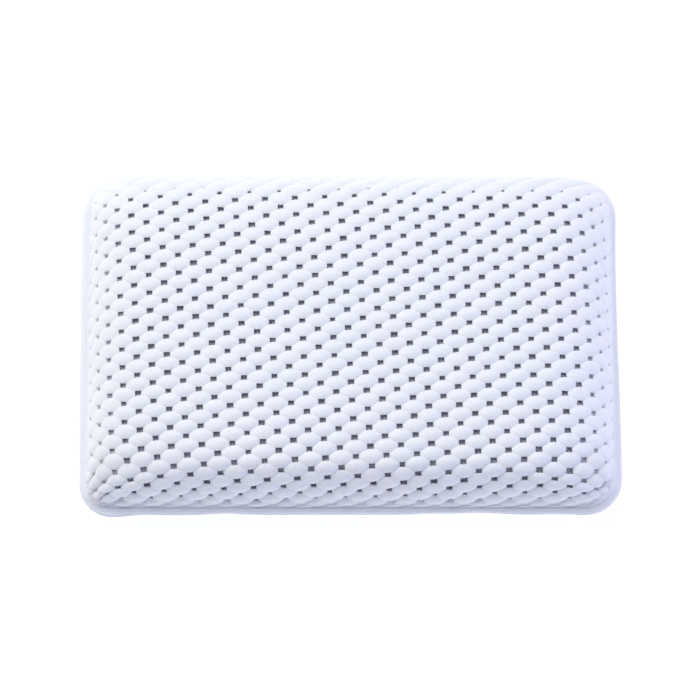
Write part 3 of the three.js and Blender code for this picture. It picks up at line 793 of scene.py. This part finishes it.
def backSheet():
    # Thin sheet: rows run out under it from the middle to the edge, round the edge and back over it
    even = np.concatenate([np.linspace(*run) for run in sheet["rowRuns"]])
    inward = np.sort(np.concatenate([even, [sheet["edgeSoft"], *sheet["weldBand"], sheet["weldEnd"]]]))
    rows = np.stack([edgeRow(way, np.maximum(
        radiusPart - sheet["cornerTightening"] * way, sheet["leastCorner"])) for way in inward])
    middle = rows[-1] * np.linspace(1, 0, sheet["middleRows"])[1:, None, None]
    middle[-1] = 0  # the pole is one point
    rows = np.concatenate([rows, middle])
    depth = np.concatenate([inward, np.full(len(middle), inward[-1])])[:, None]
    sag = sheetSag(rows[..., 0], rows[..., 1], depth)
    start, deep, rising, level = sheet["weldBand"]
    weld = sheet["weldDepth"] * smoothStep(depth, start, deep) * (1 - smoothStep(depth, rising, level))
    corner = sheet["edgeSoft"] * (1 - smoothStep(depth, 0, sheet["edgeSoft"]))
    under = seamHeight - sheet["thickness"] + sag + weld + corner
    over = seamHeight + np.minimum(sag, 0) - corner * sheet["upperEdge"]
    lower = np.concatenate([rows, under[..., None]], -1)[::-1]
    upper = np.concatenate([rows, over[..., None]], -1)
    grid = np.concatenate([lower, upper])
    piece = makePiece("backVinyl", grid, [gridFaces(len(grid), around)], [backVinyl], closePoles=True)
    post = np.array([[0, -1], [1, -1], [1, 1], [0, 1]]) * [sheet["holeRadius"], sheet["punchHeight"]]
    for place in cupPlaces:  # a hole for each eyelet
        punch = turnProfile(post + [0, seamHeight], place, sheet["holeSteps"])
        cutter = makePiece("punch", punch, [gridFaces(*punch.shape[:2])], [], closePoles=True)
        cut = piece.modifiers.new("hole", "BOOLEAN")
        cut.object, cut.operation, cut.solver = cutter, "DIFFERENCE", "EXACT"
        bpy.context.view_layer.update()
        made = bpy.data.meshes.new_from_object(piece.evaluated_get(bpy.context.evaluated_depsgraph_get()))
        piece.modifiers.clear()
        piece.data = made
        bpy.data.objects.remove(cutter)
    return piece


sheetPiece = backSheet()
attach(sheetPiece, "pillow")
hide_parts("back_sheet")
print("back sheet made")


# Suction cups and their eyelets

cup = {
    "lipWidth": 2 * mm, "lipThickness": 0.9 * mm, "lipRound": 0.35 * mm,
    "hollowDepth": 7 * mm, "shoulderHeight": 9.2 * mm, "shoulderRadius": 8 * mm, "shoulderEdge": 0.8 * mm,
    "neckRadius": 3.5 * mm, "headRadius": 7 * mm, "headHeight": 3.4 * mm, "headEdge": 1.1 * mm,
    "soft": 0.3 * mm, "curveSteps": 24, "roundSteps": 72,
}
eyelet = {"bore": 3.8 * mm, "groove": 5.4 * mm, "flange": 1.0 * mm, "soft": 0.28 * mm}


def quarterArc(x, y, radius, start, steps=5):
    # Quarter of a circle, anticlockwise from the start angle in quarters, for rounding a profile's corner
    angle = (start + np.linspace(0, 1, steps)) * math.pi / 2
    return np.stack([x + radius * np.cos(angle), y + radius * np.sin(angle)], -1)


def cupProfile():
    # Parabola of the hollow, flat lip, quarter of an ellipse up the skirt, shoulder, neck and mushroom head
    lipRadius = (cupBoxes[0][1].x - cupBoxes[0][0].x) / 2
    shoulderRadius, shoulderHeight = cup["shoulderRadius"], cup["shoulderHeight"]
    skirtRise = shoulderHeight - cup["shoulderEdge"] - cup["lipThickness"]
    headBottom = cupTop - cup["headHeight"]
    lipRound, soft = cup["lipRound"], cup["soft"]
    share = np.linspace(0, 1, cup["curveSteps"])
    hollow = np.stack([(lipRadius - cup["lipWidth"]) * share, cup["hollowDepth"] * (1 - share ** 2)], -1)
    lip = quarterArc(lipRadius - lipRound, lipRound, lipRound, 3)
    angle = np.linspace(0, math.pi / 2, cup["curveSteps"])
    skirt = np.stack([lipRadius + (shoulderRadius - lipRadius) * (1 - np.cos(angle)),
                      cup["lipThickness"] + skirtRise * np.sin(angle)], -1)
    shoulder = quarterArc(shoulderRadius - soft, shoulderHeight - soft, soft, 0)
    root = quarterArc(cup["neckRadius"] + soft, shoulderHeight + soft, soft, 2)[::-1]
    brow = quarterArc(cup["neckRadius"] + soft, headBottom - soft, soft, 1)[::-1]
    head = quarterArc(cup["headRadius"] - soft, headBottom + soft, soft, 3)
    cap = np.stack([cup["headRadius"] * np.cos(angle),
                    headBottom + cup["headEdge"] + (cup["headHeight"] - cup["headEdge"]) * np.sin(angle)], -1)
    cap[-1, 0] = 0
    return np.concatenate([hollow, lip, skirt[1:], shoulder, root, brow, head, cap])


def eyeletProfile(low, high, radius):
    # Spool: two round-edged flanges on a sleeve, closed on itself
    soft, flange = eyelet["soft"], eyelet["flange"]
    return np.concatenate([
        quarterArc(eyelet["bore"] + soft, low + soft, soft, 2),
        quarterArc(radius - soft, low + soft, soft, 3),
        quarterArc(radius - soft, low + flange - soft, soft, 0),
        [(eyelet["groove"], low + flange), (eyelet["groove"], high - flange)],
        quarterArc(radius - soft, high - flange + soft, soft, 3),
        quarterArc(radius - soft, high - soft, soft, 0),
        quarterArc(eyelet["bore"] + soft, high - soft, soft, 1),
    ])


for k, place in enumerate(cupPlaces, 1):
    rows = turnProfile(cupProfile(), place, cup["roundSteps"])
    cupPiece = makePiece(f"softCup{k}", rows, [gridFaces(*rows.shape[:2])], [cupVinyl], closePoles=True)
    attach(cupPiece, f"cup_{k}")
    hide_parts(f"suction_cup_{k}")
    low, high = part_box(f"cup_eyelet_{k}")
    rows = turnProfile(eyeletProfile(low.z, high.z, (high.x - low.x) / 2), place, cup["roundSteps"])
    ringPiece = makePiece(f"eyeletRing{k}", rows, [gridFaces(*rows.shape[:2], closeRows=True)], [eyeletVinyl])
    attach(ringPiece, "pillow")
    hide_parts(f"cup_eyelet_{k}")
print("cups and eyelets made")


# Floor, light and camera

studio = {
    "floorHalf": 20,  # metres, past what any view shows
    "floorColour": "#f4f5f8",
    "floorGlow": 0.48,
    "skyColour": "#e2e7ff",
    "skyGlow": 0.4,
    "lights": {  # place, side of the square in metres, watts and colour
        "keyLight": ((-0.45, 0.88, 1.86), 1.5, 32, "#fffff8"),
        "rightLight": ((1.5, -0.4, 0.6), 1.2, 7.4, "#cdc8ff"),
        "leftLight": ((-1.6, 0.1, 0.6), 1.2, 1.5, "#fffaf0"),
    },
}


def studioFloor():
    # White paper: matt, and lit from below so that it stays white round the pillow
    material, tree, shader = newMaterial("paperSweep")
    setSockets(shader, {"Base Color": linearColour(studio["floorColour"]), "Roughness": 0.9,
                        "Specular IOR Level": 0.1, "Emission Color": (1, 1, 1, 1),
                        "Emission Strength": studio["floorGlow"]})
    half = studio["floorHalf"]
    corners = [(-half, -half, 0), (half, -half, 0), (half, half, 0), (-half, half, 0)]
    mesh = bpy.data.meshes.new("floor")
    mesh.from_pydata(corners, [], [(0, 1, 2, 3)])
    mesh.materials.append(material)
    floor = bpy.data.objects.new("floor", mesh)
    bpy.context.scene.collection.objects.link(floor)


def areaLight(name, place, size, power, hexColour):
    # Square soft box turned towards the origin
    light = bpy.data.lights.new(name, "AREA")
    light.shape, light.size, light.energy = "SQUARE", size, power
    light.color = linearColour(hexColour)[:3]
    lamp = bpy.data.objects.new(name, light)
    lamp.location = place
    lamp.rotation_euler = (-Vector(place)).to_track_quat("-Z", "Y").to_euler()
    bpy.context.scene.collection.objects.link(lamp)


studioFloor()
for name, settings in studio["lights"].items():
    areaLight(name, *settings)

world = bpy.data.worlds.new("studio")
bpy.context.scene.world = world
world.use_nodes = True
setSockets(world.node_tree.nodes["Background"], {
    "Color": linearColour(studio["skyColour"]), "Strength": studio["skyGlow"]})
bpy.context.scene.view_settings.view_transform = "Standard"

view = {
    "elevation": math.radians(68),
    "distance": 3.5,
    "pixelsPerMetre": 1627.0,   # scale of the photograph at the rim, in a frame of 700 pixels
    "frame": 700,
    "sensor": 36.0,
    "lookAt": (0.0, -3.3 * mm, rimTop),
}
camera = bpy.data.objects.new("camera", bpy.data.cameras.new("camera"))
camera.data.sensor_width = view["sensor"]
camera.data.lens = view["sensor"] * view["pixelsPerMetre"] * view["distance"] / view["frame"]
towardsCamera = Vector((0, -math.cos(view["elevation"]), math.sin(view["elevation"])))
camera.location = Vector(view["lookAt"]) + towardsCamera * view["distance"]
camera.rotation_euler = (-towardsCamera).to_track_quat("-Z", "Y").to_euler()
bpy.context.scene.collection.objects.link(camera)
bpy.context.scene.camera = camera
print("floor, lights and camera set")
